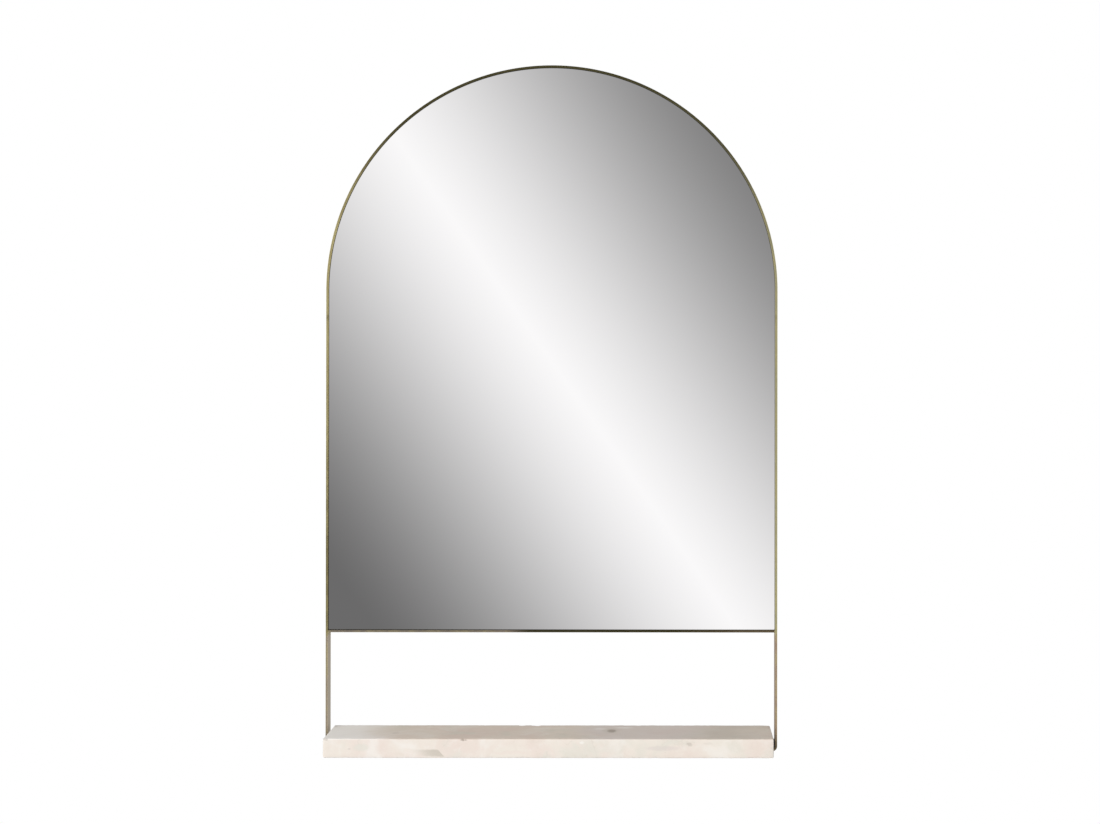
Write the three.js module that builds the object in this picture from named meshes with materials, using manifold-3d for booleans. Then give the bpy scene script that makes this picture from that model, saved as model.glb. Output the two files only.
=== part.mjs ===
// Arched wall mirror in a flat-bar frame, with a stone shelf between its legs.
// Millimetres, +Z up. The wall is at y = 0 and the front faces -Y. The origin is on the wall,
// on the centre line and on the shelf's back face.
import * as THREE from "three";
import { mergeVertices } from "three/addons/utils/BufferGeometryUtils.js";
import Module from "manifold-3d";

const wasm = await Module();
wasm.setup();

// Frame of flat bar, bent to a half circle on top and turned in under the shelf at its feet
const frameWidth = 610;
const frameHeight = 927;
const barThickness = 3;
const barDepth = 25;
const archTail = 36; // straight stretch below the half circle, down to the weld
const footLength = 60; // from the bar's outer face inwards
const bendRadius = 4; // inside the bend at the foot
const crossbarHeight = 162; // from the feet's underside to the crossbar's middle

// Stone shelf on rubber pads
const shelfDepth = 101.6;
const shelfThickness = 25.4;
const shelfEndGap = 5.7; // from the shelf's end to the side bar
const shelfArris = 0.8;
const padThickness = 2.5;
const padUpstand = 10; // height of the pad's turned-up end above the foot
const originHeight = 8; // of the origin above the shelf's underside

// Countersunk machine screws through the feet, into inserts glued in the stone
const shelfScrewOffsets = { outer: 18, inner: 45 }; // from the bar's outer face
const shelfScrewRadius = 2.5;
const shelfScrewHeadRadius = 4.6;
const shelfScrewHeadHeight = 2.5;
const shelfScrewLength = 16;
const shelfScrewInset = 0.2; // how far the head is sunk below the foot's face
const shelfScrewTip = 0.8; // taper at the screw's end
const hexSocketRadius = 1.75;
const hexSocketDepth = 1.6;
const insertRadius = 4;
const insertLength = 12;
const insertHoleDepth = 14;

// Mirror, mounting tape and backing board, from the front to the back
const glassRecess = 3; // behind the frame's front edge
const glassThickness = 4;
const tapeThickness = 1;
const boardThickness = 6;
const glassClearance = 0.4;
const boardClearance = 0.6;
const tapeWidth = 25;
const tapeSpacing = 140;
const tapeCount = 4;
const tapeMargin = 20; // from the glass's edge

// Tabs welded inside the frame, which the backing board is screwed to
const tabLength = 20;
const tabReach = 15;
const tabThickness = 2;
const tabCorner = 3;
const tabHoleInset = 8;
const tabEndDistance = 80; // from the crossbar and from the weld to the tabs on the side bars
const tabArchAngles = { right: 45, top: 90, left: 135 };
const tabBottomOffset = 170;

// Pan-head screws of the tabs and of the hanger straps
const panHeadRadius = 3.5;
const panHeadHeight = 2.2;
const panHeadRim = 0.9; // straight part of the head, below its dome
const panScrewRadius = 1.75;
const panScrewCover = 1; // of board left in front of a strap screw's point
const panScrewTip = 1.5; // pointed end
const crossSlotLength = 3.8;
const crossSlotWidth = 0.7;
const crossSlotDepth = 1.1;

// Hangers: a strap with a rolled eye and a ring that swings in it
const hangerSpacing = 406;
const hangerDrop = 267; // from the frame's top down to the ring's axis
const strapWidth = 14;
const strapThickness = 1.5;
const strapScrewSpacing = 12;
const strapScrewGap = 1.5; // from the hanging ring to the upper screw's head
const ringWire = 3;
const ringInnerWidth = 22;
const ringLeg = 1;
const ringCorner = 3;
const ringSeam = 0.4; // between the wire's two ends, inside the eye

// Clearances
const fitClearance = 0.3; // between turned or rounded pieces that rest on each other
const shankClearance = 0.2; // round a screw in the hole that it bites in
const overshoot = 1; // how far a cutting tool runs past the face that it cuts

// Levels and planes that follow from those sizes
const shelfBottom = -originHeight;
const shelfTop = shelfBottom + shelfThickness;
const padBottom = shelfBottom - padThickness;
const footBottom = padBottom - barThickness;
const outerHalf = frameWidth / 2;
const innerHalf = outerHalf - barThickness;
const frameTop = footBottom + frameHeight;
const archCentre = frameTop - outerHalf;
const weldLevel = archCentre - archTail;
const crossbarBottom = footBottom + crossbarHeight - barThickness / 2;
const crossbarTop = crossbarBottom + barThickness;
const shelfHalf = innerHalf - shelfEndGap;
const frameFront = -barDepth;
const glassFront = frameFront + glassRecess;
const glassBack = glassFront + glassThickness;
const boardFront = glassBack + tapeThickness;
const boardBack = boardFront + boardThickness;
const tabBack = boardBack + tabThickness;
const panScrewLength = strapThickness + boardThickness - panScrewCover;
const ringAxisZ = frameTop - hangerDrop;
const ringReach = ringCorner + ringLeg + ringInnerWidth / 2 + ringWire; // below the ring's axis
const strapUpperDrop = ringReach + strapScrewGap + panHeadRadius;
const strapScrewDrops = { upper: strapUpperDrop, lower: strapUpperDrop + strapScrewSpacing };
const strapLength = strapScrewDrops.lower + strapWidth / 2; // from the ring's axis to its lower end

// Curve fineness: segments in one arc of an outline, or in a full turn
const archSegments = 96;
const bendSegments = 8;
const eyeSegments = 20;
const turnSegments = 20;
const screwSegments = 16;
const domeSteps = 3;
const ringSteps = 44;
const wireSides = 8;

const brass = new THREE.MeshStandardMaterial({ color: 0xa8925c, roughness: 0.35, metalness: 1 });
const stone = new THREE.MeshStandardMaterial({ color: 0xe4d8c8, roughness: 0.55, metalness: 0 });
const rubber = new THREE.MeshStandardMaterial({ color: 0x2b2a28, roughness: 0.85, metalness: 0 });
const silvered = new THREE.MeshStandardMaterial({ color: 0xd8dadb, roughness: 0.03, metalness: 1 });
const foam = new THREE.MeshStandardMaterial({ color: 0xf2f0ea, roughness: 0.9, metalness: 0 });
const fibreboard = new THREE.MeshStandardMaterial({ color: 0x8a6a48, roughness: 0.8, metalness: 0 });
const zinc = new THREE.MeshStandardMaterial({ color: 0xb9bcc0, roughness: 0.4, metalness: 1 });
const insertBrass = new THREE.MeshStandardMaterial({ color: 0xb58e45, roughness: 0.4, metalness: 1 });

const mirrorWithShelf = new THREE.Group();

function addPiece(name, geometry, material) {
  const mesh = new THREE.Mesh(geometry, material);
  mesh.name = name;
  mirrorWithShelf.add(mesh);
  return mesh;
}

// Booleans
function solidFrom(geometry) {
  const bare = geometry.clone();
  bare.deleteAttribute("normal");
  bare.deleteAttribute("uv");
  const merged = mergeVertices(bare);
  const vertProperties = new Float32Array(merged.attributes.position.array);
  const triVerts = new Uint32Array(merged.index.array);
  return new wasm.Manifold(new wasm.Mesh({ numProp: 3, vertProperties, triVerts }));
}

function geometryFrom(solid) {
  const { vertProperties, triVerts } = solid.getMesh();
  const geometry = new THREE.BufferGeometry();
  geometry.setAttribute("position", new THREE.BufferAttribute(vertProperties, 3));
  geometry.setIndex(new THREE.BufferAttribute(triVerts, 1));
  geometry.computeVertexNormals();
  return geometry;
}

function cut(geometry, tools) {
  const left = tools.reduce((rest, tool) => rest.subtract(solidFrom(tool)), solidFrom(geometry));
  return geometryFrom(left);
}

// An outline in the X-Z plane, made a plate between two planes of y
function plate(outline, frontY, backY, arcSegments = bendSegments) {
  const options = { depth: backY - frontY, bevelEnabled: false, curveSegments: arcSegments / 2 };
  const geometry = new THREE.ExtrudeGeometry(outline, options);
  geometry.rotateX(Math.PI / 2);
  geometry.translate(0, backY, 0);
  return geometry;
}

// The same outline on the other side of the centre line when side is -1
function mirrored(outline, side) {
  const points = outline.getPoints(bendSegments / 2);
  return new THREE.Shape(points.map((point) => new THREE.Vector2(side * point.x, point.y)));
}

// A straight round hole or pin along Y or Z
function pinAlongY(radius, fromY, toY, x, z) {
  const pin = new THREE.CylinderGeometry(radius, radius, toY - fromY, turnSegments);
  return pin.translate(x, (fromY + toY) / 2, z);
}

function pinAlongZ(radius, fromZ, toZ, x, y) {
  const pin = new THREE.CylinderGeometry(radius, radius, toZ - fromZ, turnSegments);
  return pin.rotateX(Math.PI / 2).translate(x, y, (fromZ + toZ) / 2);
}

// A profile of [radius, height] pairs turned about Z
function turned(profile) {
  const points = profile.map(([radius, height]) => new THREE.Vector2(radius, height));
  return new THREE.LatheGeometry(points, turnSegments).rotateX(Math.PI / 2);
}

// Frame bars
function archBar() {
  const outline = new THREE.Shape();
  outline.moveTo(innerHalf, weldLevel);
  outline.lineTo(outerHalf, weldLevel);
  outline.absarc(0, archCentre, outerHalf, 0, Math.PI, false);
  outline.lineTo(-outerHalf, weldLevel);
  outline.lineTo(-innerHalf, weldLevel);
  outline.absarc(0, archCentre, innerHalf, Math.PI, 0, true);
  return plate(outline, frameFront, 0, archSegments);
}

function sideBarOutline() {
  const outerBend = bendRadius + barThickness;
  const bendX = outerHalf - outerBend;
  const bendZ = footBottom + outerBend;
  const outline = new THREE.Shape();
  outline.moveTo(outerHalf, weldLevel);
  outline.lineTo(innerHalf, weldLevel);
  outline.absarc(bendX, bendZ, bendRadius, 0, -Math.PI / 2, true);
  outline.lineTo(outerHalf - footLength, footBottom + barThickness);
  outline.lineTo(outerHalf - footLength, footBottom);
  outline.absarc(bendX, bendZ, outerBend, -Math.PI / 2, 0, false);
  return outline;
}

// The countersink and the hole that a shelf screw passes in the foot
function footHole(x) {
  const headRadius = shelfScrewHeadRadius + fitClearance;
  const holeRadius = shelfScrewRadius + fitClearance;
  const headBottom = footBottom + shelfScrewInset;
  const profile = [
    [0, footBottom - overshoot],
    [headRadius, footBottom - overshoot],
    [headRadius, headBottom],
    [holeRadius, headBottom + shelfScrewHeadHeight],
    [holeRadius, padBottom + overshoot],
    [0, padBottom + overshoot],
  ];
  return turned(profile).translate(x, -barDepth / 2, 0);
}

function sideBar(side) {
  const bar = plate(mirrored(sideBarOutline(), side), frameFront, 0);
  const holes = Object.values(shelfScrewOffsets).map((offset) => footHole(side * (outerHalf - offset)));
  return cut(bar, holes);
}

function crossbar() {
  const bar = new THREE.BoxGeometry(2 * innerHalf, barDepth, barThickness);
  return bar.translate(0, -barDepth / 2, (crossbarBottom + crossbarTop) / 2);
}

// Stone shelf, with blind holes for the inserts in its underside
function stoneShelf(screwXs) {
  const outline = new THREE.Shape();
  outline.moveTo(-shelfHalf, shelfBottom);
  outline.lineTo(shelfHalf, shelfBottom);
  outline.lineTo(shelfHalf, shelfTop);
  outline.lineTo(-shelfHalf, shelfTop);
  const slab = new THREE.ExtrudeGeometry(outline, {
    depth: shelfDepth - 2 * shelfArris,
    bevelThickness: shelfArris,
    bevelSize: shelfArris,
    bevelOffset: -shelfArris,
    bevelSegments: 1,
  });
  slab.rotateX(Math.PI / 2);
  slab.translate(0, -shelfArris, 0);
  const holeRadius = insertRadius + shankClearance;
  const holeTop = shelfBottom + insertHoleDepth;
  return cut(
    slab,
    screwXs.map((x) => pinAlongZ(holeRadius, shelfBottom - overshoot, holeTop, x, -barDepth / 2)),
  );
}

// L-shaped pad: flat on the foot, and turned up between the side bar and the shelf's end
function shelfPad(side) {
  const footEnd = outerHalf - footLength;
  const outerFace = innerHalf - fitClearance;
  const innerFace = shelfHalf + fitClearance;
  const cornerRadius = bendRadius + 2 * fitClearance;
  const outline = new THREE.Shape();
  outline.moveTo(footEnd, shelfBottom);
  outline.lineTo(footEnd, padBottom);
  outline.absarc(outerFace - cornerRadius, padBottom + cornerRadius, cornerRadius, -Math.PI / 2, 0, false);
  outline.lineTo(outerFace, padBottom + padUpstand);
  outline.lineTo(innerFace, padBottom + padUpstand);
  outline.lineTo(innerFace, shelfBottom);
  const pad = plate(mirrored(outline, side), frameFront, 0);
  const holeRadius = shelfScrewRadius + fitClearance;
  const holes = Object.values(shelfScrewOffsets).map((offset) => {
    const x = side * (outerHalf - offset);
    return pinAlongZ(holeRadius, padBottom - overshoot, shelfBottom + overshoot, x, -barDepth / 2);
  });
  return cut(pad, holes);
}

function shelfInsert(x) {
  const bore = shelfScrewRadius + shankClearance;
  const profile = [
    [bore, 0],
    [insertRadius, 0],
    [insertRadius, insertLength],
    [bore, insertLength],
    [bore, 0],
  ];
  return turned(profile).translate(x, -barDepth / 2, shelfBottom);
}

function shelfScrew(x) {
  const profile = [
    [0, 0],
    [shelfScrewHeadRadius, 0],
    [shelfScrewRadius, shelfScrewHeadHeight],
    [shelfScrewRadius, shelfScrewLength - shelfScrewTip],
    [shelfScrewRadius - shelfScrewTip, shelfScrewLength],
    [0, shelfScrewLength],
  ];
  const socket = new THREE.CylinderGeometry(hexSocketRadius, hexSocketRadius, 2 * hexSocketDepth, 6);
  const screw = cut(turned(profile), [socket.rotateX(Math.PI / 2)]);
  return screw.translate(x, -barDepth / 2, footBottom + shelfScrewInset);
}

// Outline of what fills the arch, a clearance inside the frame
function paneOutline(clearance) {
  const half = innerHalf - clearance;
  const outline = new THREE.Shape();
  outline.moveTo(-half, crossbarTop + clearance);
  outline.lineTo(half, crossbarTop + clearance);
  outline.absarc(0, archCentre, half, 0, Math.PI, false);
  return outline;
}

function tapeStrip(x) {
  const reach = innerHalf - glassClearance - tapeMargin;
  const edge = Math.abs(x) + tapeWidth / 2;
  const top = archCentre + Math.sqrt(reach ** 2 - edge ** 2);
  const bottom = crossbarTop + tapeMargin;
  const strip = new THREE.BoxGeometry(tapeWidth, tapeThickness, top - bottom);
  return strip.translate(x, (glassBack + boardFront) / 2, (top + bottom) / 2);
}

function backingBoard(screwPoints) {
  const board = plate(paneOutline(boardClearance), boardFront, boardBack, archSegments);
  const holeRadius = panScrewRadius + shankClearance;
  const holes = screwPoints.map(({ x, z, seat }) => {
    const holeEnd = seat - panScrewLength - fitClearance;
    return pinAlongY(holeRadius, holeEnd, boardBack + overshoot, x, z);
  });
  return cut(board, holes);
}

// Tab whose outer edge lies at x = 0 and whose hole is further in, towards -X
function retainingTab() {
  const half = tabLength / 2;
  const outline = new THREE.Shape();
  outline.moveTo(0, -half);
  outline.lineTo(0, half);
  outline.lineTo(tabCorner - tabReach, half);
  outline.absarc(tabCorner - tabReach, half - tabCorner, tabCorner, Math.PI / 2, Math.PI, false);
  outline.absarc(tabCorner - tabReach, tabCorner - half, tabCorner, Math.PI, Math.PI * 1.5, false);
  const holeRadius = panScrewRadius + fitClearance;
  const hole = pinAlongY(holeRadius, boardBack - overshoot, tabBack + overshoot, -tabHoleInset, 0);
  return cut(plate(outline, boardBack, tabBack), [hole]);
}

// Where the tabs stand: the middle of the edge that is welded, and the angle of its outward normal
function tabPlaces() {
  const seat = innerHalf - fitClearance;
  const archSeat = Math.sqrt(innerHalf ** 2 - (tabLength / 2) ** 2) - fitClearance;
  const low = crossbarTop + tabEndDistance;
  const high = weldLevel - tabEndDistance;
  const bottom = crossbarTop + fitClearance;
  const down = -Math.PI / 2;
  const places = [];
  for (const [sideName, side] of sides) {
    const angle = side > 0 ? 0 : Math.PI;
    places.push({ name: `tab_${sideName}_low`, x: side * seat, z: low, angle });
    places.push({ name: `tab_${sideName}_high`, x: side * seat, z: high, angle });
    places.push({ name: `tab_bottom_${sideName}`, x: side * tabBottomOffset, z: bottom, angle: down });
  }
  for (const [archName, degrees] of Object.entries(tabArchAngles)) {
    const angle = THREE.MathUtils.degToRad(degrees);
    const x = archSeat * Math.cos(angle);
    const z = archCentre + archSeat * Math.sin(angle);
    places.push({ name: `tab_arch_${archName}`, x, z, angle });
  }
  return places;
}

// Pan-head screw along Y, its head's underside at y = 0
function panScrew() {
  const points = [
    new THREE.Vector2(0, -panScrewLength),
    new THREE.Vector2(panScrewRadius, panScrewTip - panScrewLength),
    new THREE.Vector2(panScrewRadius, 0),
    new THREE.Vector2(panHeadRadius, 0),
  ];
  for (let i = 0; i < domeSteps; i += 1) {
    const angle = (i / domeSteps) * (Math.PI / 2);
    const height = panHeadRim + (panHeadHeight - panHeadRim) * Math.sin(angle);
    points.push(new THREE.Vector2(panHeadRadius * Math.cos(angle), height));
  }
  points.push(new THREE.Vector2(0, panHeadHeight));
  const screw = new THREE.LatheGeometry(points, screwSegments);
  const slots = [0, Math.PI / 2].map((angle) => {
    const slot = new THREE.BoxGeometry(crossSlotLength, 2 * crossSlotDepth, crossSlotWidth);
    return slot.rotateY(angle).translate(0, panHeadHeight, 0);
  });
  return cut(screw, slots);
}

// Hanger strap, with its eye's centre at the origin and its plate's back towards -Y
function hangerStrap() {
  const boreRadius = ringWire / 2 + fitClearance;
  const eyeRadius = boreRadius + strapThickness;
  const closing = Math.PI + Math.acos(boreRadius / eyeRadius);
  const section = new THREE.Shape();
  section.moveTo(-boreRadius, -strapLength);
  section.lineTo(-eyeRadius, -strapLength);
  section.absarc(0, 0, eyeRadius, Math.PI, closing - 2 * Math.PI, true);
  const bore = new THREE.Path();
  bore.absarc(0, 0, boreRadius, 0, 2 * Math.PI, false);
  section.holes.push(bore);
  const options = { depth: strapWidth, bevelEnabled: false, curveSegments: eyeSegments / 2 };
  const strap = new THREE.ExtrudeGeometry(section, options);
  const turn = new THREE.Matrix4().makeBasis(
    new THREE.Vector3(0, 1, 0),
    new THREE.Vector3(0, 0, 1),
    new THREE.Vector3(1, 0, 0),
  );
  strap.applyMatrix4(turn).translate(-strapWidth / 2, 0, 0);

  const half = strapWidth / 2;
  const front = new THREE.Shape();
  front.moveTo(half, eyeRadius + overshoot);
  front.lineTo(-half, eyeRadius + overshoot);
  front.absarc(0, half - strapLength, half, Math.PI, 2 * Math.PI, false);
  const trim = plate(front, -eyeRadius - overshoot, eyeRadius + overshoot, eyeSegments);
  const rounded = solidFrom(strap).intersect(solidFrom(trim));
  const holeRadius = panScrewRadius + fitClearance;
  const holes = Object.values(strapScrewDrops).map((drop) => {
    return pinAlongY(holeRadius, -eyeRadius - overshoot, 0, 0, -drop);
  });
  return cut(geometryFrom(rounded), holes);
}

// D-shaped ring of round wire, hanging from its straight side, whose middle is at the origin
function dRing() {
  const half = (ringInnerWidth + ringWire) / 2;
  const route = new THREE.Path();
  route.moveTo(ringSeam / 2, 0);
  route.lineTo((half - ringCorner) / 2, 0);
  route.absarc(half - ringCorner, -ringCorner, ringCorner, Math.PI / 2, 0, true);
  route.absarc(0, -ringCorner - ringLeg, half, 0, -Math.PI, true);
  route.absarc(ringCorner - half, -ringCorner, ringCorner, Math.PI, Math.PI / 2, true);
  route.lineTo(-ringSeam / 2, 0);
  const points = route.getSpacedPoints(ringSteps).map((point) => new THREE.Vector3(point.x, 0, point.y));
  const extrudePath = new THREE.CatmullRomCurve3(points);
  const section = new THREE.Shape();
  section.absarc(0, 0, ringWire / 2, 0, 2 * Math.PI, false);
  return new THREE.ExtrudeGeometry(section, { extrudePath, steps: ringSteps, curveSegments: wireSides / 2 });
}

// Assembly
const sides = [["left", -1], ["right", 1]];
const screwPlaces = [];
for (const [sideName, side] of sides) {
  for (const [place, offset] of Object.entries(shelfScrewOffsets)) {
    screwPlaces.push({ name: `${sideName}_${place}`, x: side * (outerHalf - offset) });
  }
}

addPiece("arch_bar", archBar(), brass);
addPiece("mirror_crossbar", crossbar(), brass);
for (const [sideName, side] of sides) {
  addPiece(`${sideName}_side_bar`, sideBar(side), brass);
  addPiece(`${sideName}_shelf_pad`, shelfPad(side), rubber);
}

addPiece("stone_shelf", stoneShelf(screwPlaces.map(({ x }) => x)), stone);
for (const { name, x } of screwPlaces) {
  addPiece(`${name}_shelf_insert`, shelfInsert(x), insertBrass);
  addPiece(`${name}_shelf_screw`, shelfScrew(x), zinc);
}

addPiece("mirror_glass", plate(paneOutline(glassClearance), glassFront, glassBack, archSegments), silvered);
for (let i = 0; i < tapeCount; i += 1) {
  addPiece(`tape_strip_${i + 1}`, tapeStrip((i - (tapeCount - 1) / 2) * tapeSpacing), foam);
}

const tabGeometry = retainingTab();
const screwGeometry = panScrew();
const boardScrews = [];
for (const { name, x, z, angle } of tabPlaces()) {
  const tab = addPiece(name, tabGeometry, brass);
  tab.position.set(x, 0, z);
  tab.rotation.y = -angle;
  boardScrews.push({
    name: `${name}_screw`,
    x: x - tabHoleInset * Math.cos(angle),
    z: z - tabHoleInset * Math.sin(angle),
    seat: tabBack,
  });
}

const eyeOffset = ringWire / 2 + fitClearance + strapThickness;
const strapGeometry = hangerStrap();
const ringGeometry = dRing();
for (const [sideName, side] of sides) {
  const x = (side * hangerSpacing) / 2;
  addPiece(`${sideName}_hanger_strap`, strapGeometry, zinc).position.set(x, boardBack + eyeOffset, ringAxisZ);
  addPiece(`${sideName}_d_ring`, ringGeometry, zinc).position.set(x, boardBack + eyeOffset, ringAxisZ);
  for (const [place, drop] of Object.entries(strapScrewDrops)) {
    const seat = boardBack + strapThickness;
    boardScrews.push({ name: `${sideName}_strap_screw_${place}`, x, z: ringAxisZ - drop, seat });
  }
}
for (const { name, x, z, seat } of boardScrews) {
  addPiece(name, screwGeometry, zinc).position.set(x, seat, z);
}
addPiece("backing_board", backingBoard(boardScrews), fibreboard);

export default mirrorWithShelf;
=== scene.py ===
import math

import bmesh
import bpy
from mathutils import Matrix, Vector, noise


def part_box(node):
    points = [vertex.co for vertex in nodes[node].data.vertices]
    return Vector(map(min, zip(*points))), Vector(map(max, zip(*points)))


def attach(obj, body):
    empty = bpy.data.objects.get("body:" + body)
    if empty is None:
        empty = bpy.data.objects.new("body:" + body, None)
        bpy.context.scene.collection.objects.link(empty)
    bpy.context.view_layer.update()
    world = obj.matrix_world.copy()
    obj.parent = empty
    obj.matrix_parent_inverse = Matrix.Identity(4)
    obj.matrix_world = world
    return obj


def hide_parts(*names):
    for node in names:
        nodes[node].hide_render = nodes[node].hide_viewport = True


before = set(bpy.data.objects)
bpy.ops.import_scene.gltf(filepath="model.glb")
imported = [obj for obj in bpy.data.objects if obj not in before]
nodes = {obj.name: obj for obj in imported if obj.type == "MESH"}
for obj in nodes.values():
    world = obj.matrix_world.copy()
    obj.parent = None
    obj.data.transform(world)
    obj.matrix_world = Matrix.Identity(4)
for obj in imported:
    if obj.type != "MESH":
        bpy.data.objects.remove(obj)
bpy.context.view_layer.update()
scene = bpy.context.scene
mm = 0.001

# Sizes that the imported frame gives, in metres
archLow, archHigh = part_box("arch_bar")
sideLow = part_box("right_side_bar")[0]
crossLow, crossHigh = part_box("mirror_crossbar")
shelfLow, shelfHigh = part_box("stone_shelf")
glassLow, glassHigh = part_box("mirror_glass")
boardLow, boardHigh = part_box("backing_board")
padLow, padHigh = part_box("right_shelf_pad")
outerHalf = archHigh.x
innerHalf = crossHigh.x
archCentre = archHigh.z - outerHalf
weldLevel = archLow.z
barDepth = archHigh.y - archLow.y
barMiddle = (outerHalf + innerHalf) / 2


# A socket that takes part in Python sums, each of which adds its Math node
class Wire:
    def __init__(self, sheet, socket):
        self.sheet = sheet
        self.socket = socket

    def __add__(self, other):
        return self.sheet.maths("ADD", self, other)

    __radd__ = __add__

    def __sub__(self, other):
        return self.sheet.maths("SUBTRACT", self, other)

    def __rsub__(self, other):
        return self.sheet.maths("SUBTRACT", other, self)

    def __mul__(self, other):
        return self.sheet.maths("MULTIPLY", self, other)

    __rmul__ = __mul__

    def __truediv__(self, other):
        return self.sheet.maths("DIVIDE", self, other)

    def __pow__(self, other):
        return self.sheet.maths("POWER", self, other)

    def __lt__(self, other):
        return self.sheet.maths("LESS_THAN", self, other)

    def __abs__(self):
        return self.sheet.maths("ABSOLUTE", self)


# The node tree of a material, or of the world
class Sheet:
    def __init__(self, owner):
        owner.use_nodes = True
        self.owner = owner
        self.tree = owner.node_tree
        self.tree.nodes.clear()

    def node(self, kind, settings=None, sockets=None, output=0):
        made = self.tree.nodes.new("ShaderNode" + kind)
        for name, value in (settings or {}).items():
            setattr(made, name, value)
        for key, value in (sockets or {}).items():
            socket = made.inputs[key]
            if isinstance(value, Wire):
                self.tree.links.new(value.socket, socket)
            elif socket.type == "RGBA":
                socket.default_value = (*value, 1)
            else:
                socket.default_value = value
        return Wire(self, made.outputs[output]) if made.outputs else None

    def maths(self, operation, *values):
        return self.node("Math", {"operation": operation}, dict(enumerate(values)))

    def split(self, vector):
        parts = self.node("SeparateXYZ", sockets={0: vector}).socket.node
        return [Wire(self, socket) for socket in parts.outputs]

    def join(self, x, y, z):
        return self.node("CombineXYZ", sockets={0: x, 1: y, 2: z})

    def place(self):
        return self.node("TexCoord", output="Object")

    def vectorMaths(self, operation, a, b):
        return self.node("VectorMath", {"operation": operation}, {0: a, 1: b})

    def distance(self, place, centre, radii):
        offset = self.vectorMaths("SUBTRACT", place, centre)
        scaled = self.vectorMaths("DIVIDE", offset, radii)
        return self.node("VectorMath", {"operation": "LENGTH"}, {0: scaled}, output="Value")

    # 0 below low, 1 above high, and a soft step between them
    def rise(self, value, low, high):
        sockets = {"Value": value, "From Min": low, "From Max": high}
        return self.node("MapRange", {"interpolation_type": "SMOOTHSTEP"}, sockets)

    def fall(self, value, low, high):
        return 1 - self.rise(value, low, high)

    def grain(self, vector, scale, detail, roughness=0.5, output=0):
        sockets = {"Vector": vector, "Scale": scale, "Detail": detail, "Roughness": roughness}
        return self.node("TexNoise", sockets=sockets, output=output)

    def cells(self, vector, scale, output=0):
        return self.node("TexVoronoi", sockets={"Vector": vector, "Scale": scale}, output=output)

    def mix(self, factor, a, b, blend="MIX"):
        settings = {"data_type": "RGBA", "blend_type": blend}
        return self.node("Mix", settings, {0: factor, 6: a, 7: b}, output=2)

    # A colour made lighter or darker by a number that varies
    def shaded(self, colour, value):
        return self.mix(1, colour, self.join(value, value, value), "MULTIPLY")

    # The place, shifted about by a noise of its own
    def warped(self, place, scale, reach, detail=2.0):
        wander = self.grain(place, scale, detail, output=1)
        centred = self.vectorMaths("SUBTRACT", wander, (0.5, 0.5, 0.5))
        return self.vectorMaths("ADD", place, self.vectorMaths("MULTIPLY", centred, (reach,) * 3))

    def bump(self, height, distance, strength):
        sockets = {"Height": height, "Distance": distance, "Strength": strength}
        return self.node("Bump", sockets=sockets)

    def surface(self, colour, roughness, normal, **others):
        sockets = {"Base Color": colour, "Roughness": roughness, "Normal": normal, **others}
        self.finish(self.node("BsdfPrincipled", sockets=sockets))
        return self.owner

    def finish(self, shader):
        self.node("OutputMaterial", sockets={"Surface": shader})


def newSheet(name):
    return Sheet(bpy.data.materials.new(name))


# From low to high as share goes from 0 to 1
def between(low, high, share):
    return low + (high - low) * share


# Joins several meshes in one, and frees them
def gather(parts):
    whole = bmesh.new()
    for part in parts:
        mesh = bpy.data.meshes.new("gathered")
        part.to_mesh(mesh)
        part.free()
        whole.from_mesh(mesh)
        bpy.data.meshes.remove(mesh)
    return whole


def moved(bm, matrix):
    bmesh.ops.transform(bm, matrix=matrix, verts=bm.verts)
    if matrix.determinant() < 0:
        bmesh.ops.recalc_face_normals(bm, faces=bm.faces)
    return bm


def shifted(x, y, z):
    return Matrix.Translation((x, y, z))


def turnedBy(degrees, axis):
    return Matrix.Rotation(math.radians(degrees), 4, axis)


mirrored = Matrix.Diagonal((-1, 1, 1, 1))  # from the right side to the left


def closed(bm):
    bmesh.ops.remove_doubles(bm, verts=bm.verts, dist=0.001 * mm)
    bmesh.ops.recalc_face_normals(bm, faces=bm.faces)
    return bm


def vertsOf(parts):
    return [part for part in parts if isinstance(part, bmesh.types.BMVert)]


def edgesOf(parts):
    return [part for part in parts if isinstance(part, bmesh.types.BMEdge)]


# Rounds or breaks edges, or the corners of a flat face
def roundOff(bm, geom, offset, segments, affect="EDGES"):
    bmesh.ops.bevel(bm, geom=geom, offset=offset, offset_type="OFFSET", segments=segments,
                    profile=0.5, affect=affect, material=-1)


# Gives flat faces a thickness
def thickened(bm, faces, vector):
    made = bmesh.ops.extrude_face_region(bm, geom=faces)["geom"]
    bmesh.ops.translate(bm, vec=vector, verts=vertsOf(made))
    return closed(bm)


def newObject(name, bm):
    mesh = bpy.data.meshes.new(name)
    bm.to_mesh(mesh)
    bm.free()
    made = bpy.data.objects.new(name, mesh)
    scene.collection.objects.link(made)
    return made


# Keeps the mesh of a piece and drops the piece
def meshOf(piece):
    mesh = piece.data
    bpy.data.objects.remove(piece)
    return mesh


# A closed profile of (radius, height) pairs turned about Z
def turnedSolid(profile, segments):
    bm = bmesh.new()
    verts = [bm.verts.new((radius * mm, 0, height * mm)) for radius, height in profile]
    edges = [bm.edges.new(pair) for pair in zip(verts, verts[1:])]
    bmesh.ops.spin(bm, geom=verts + edges, cent=(0, 0, 0), axis=(0, 0, 1),
                   angle=2 * math.pi, steps=segments, use_merge=True)
    return closed(bm)


# Profile of a plain round hole
def bore(radius, low, high):
    return [(0, low), (radius, low), (radius, high), (0, high)]


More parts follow.
